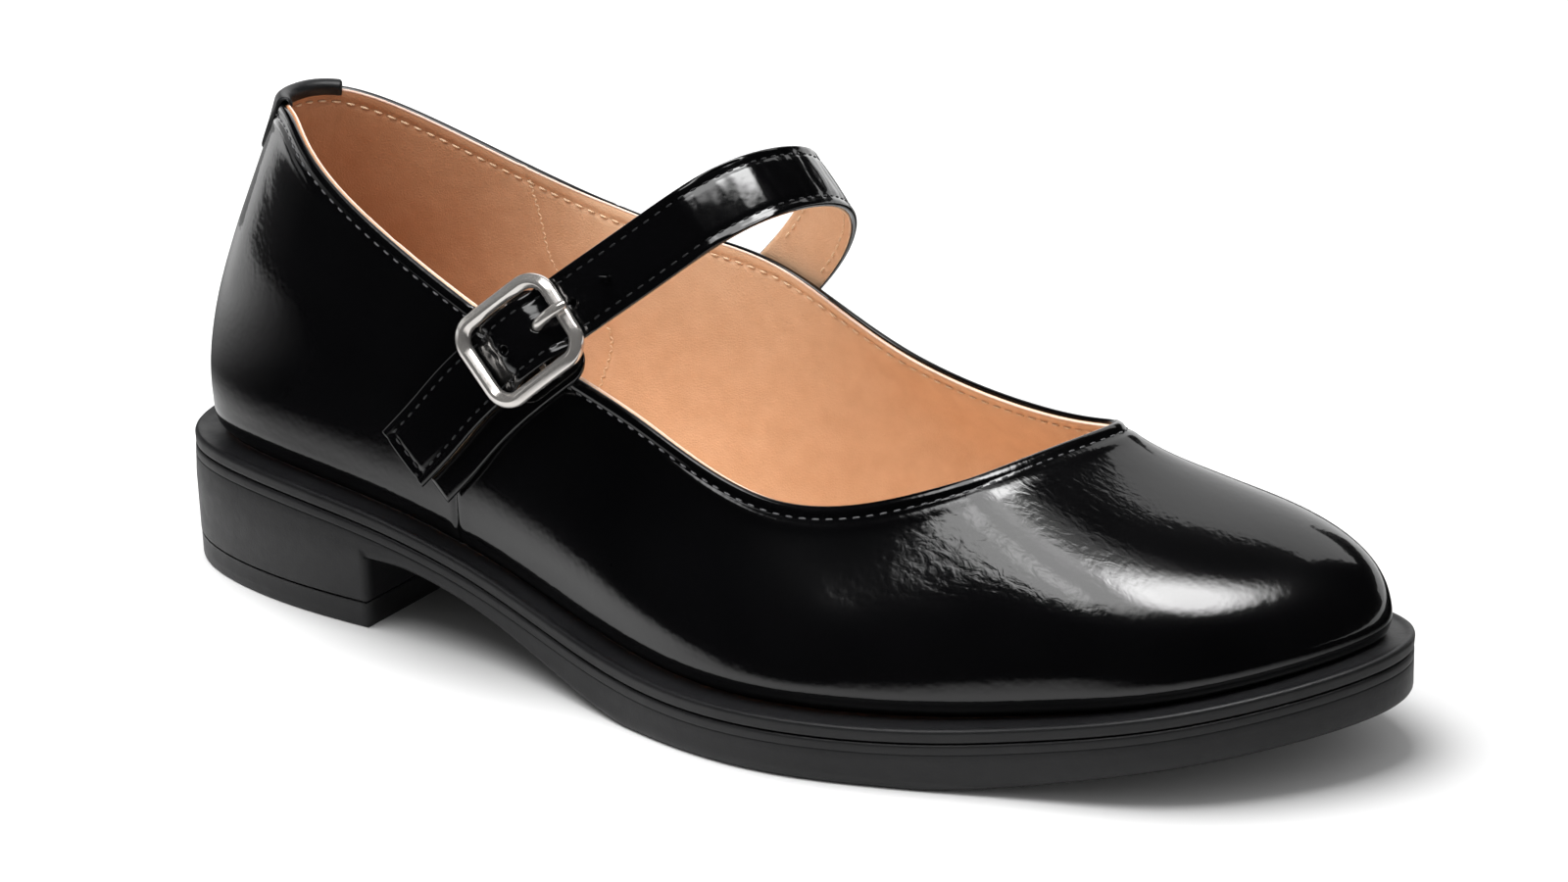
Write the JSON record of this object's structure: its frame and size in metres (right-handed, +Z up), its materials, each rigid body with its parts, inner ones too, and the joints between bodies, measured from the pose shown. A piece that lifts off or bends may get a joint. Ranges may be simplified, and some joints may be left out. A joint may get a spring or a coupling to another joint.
{
  "type": "mary jane pump",
  "caption": "Low block-heel mary jane pump in black patent leather, with a plain almond toe, a deep collar, a buckled instep strap and a moulded rubber sole.",
  "frame": {"origin": "on the ground, under the middle of the sole", "axes": "+X along the shoe from heel to toe, +Y to the inner side of the foot, +Z up; the buckle is on the outer side, at -Y"},
  "size_m": [0.2505, 0.0988, 0.099],
  "materials": {
    "patent_leather": "high-gloss patent coating",
    "lining_leather": "matt smooth lining leather",
    "sole_rubber": "satin moulded rubber",
    "nickel": "polished nickel plate"
  },
  "bodies": {
    "root": {"upper": "patent_leather", "heel_tab": "patent_leather", "strap": "patent_leather", "chape": "patent_leather", "insole": "lining_leather", "midsole": "sole_rubber", "outsole": "sole_rubber", "heel_top_lift": "sole_rubber", "buckle_frame": "nickel", "buckle_prong": "nickel"}
  },
  "joints": []
}
